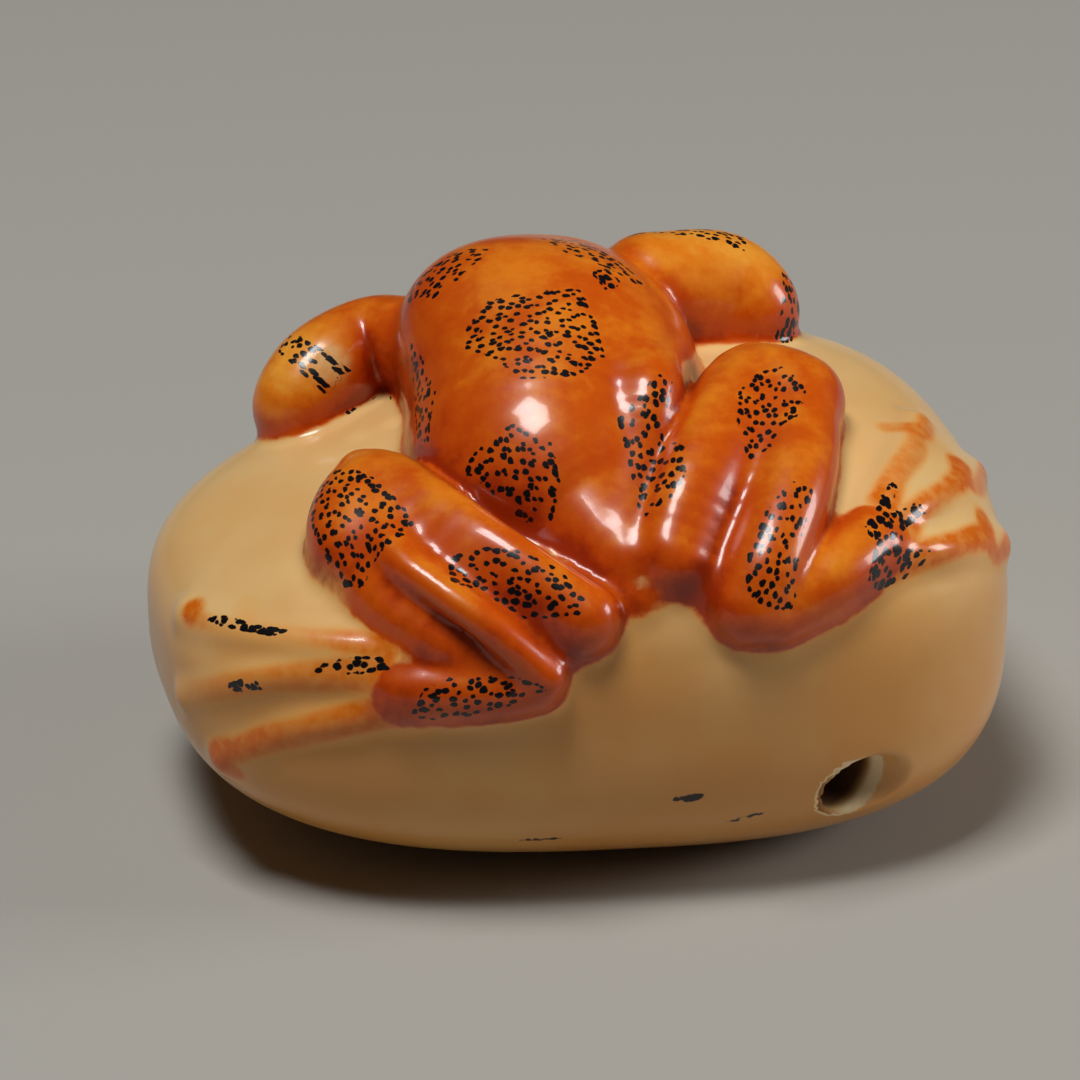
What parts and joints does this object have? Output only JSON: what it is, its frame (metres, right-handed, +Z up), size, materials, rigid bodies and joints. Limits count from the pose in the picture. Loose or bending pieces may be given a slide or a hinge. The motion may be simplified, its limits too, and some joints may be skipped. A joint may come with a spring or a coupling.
{
  "type": "carved tagua nut frog ornament",
  "caption": "Palm-sized ornament: an orange, black-speckled frog crouching on the pale polished tagua nut it is carved from, with a drilled cord hole.",
  "frame": {"origin": "on the flat underside, straight below the middle of the nut", "axes": "+Z up, +X along the nut towards its fuller end, -Y towards the viewer, who sees the frog from behind"},
  "size_m": [0.048, 0.0384, 0.0307],
  "materials": {
    "tagua": "polished, part bare cream nut, part dyed orange with black ink dots"
  },
  "bodies": {
    "root": {"frog_carving": "tagua"}
  },
  "joints": []
}
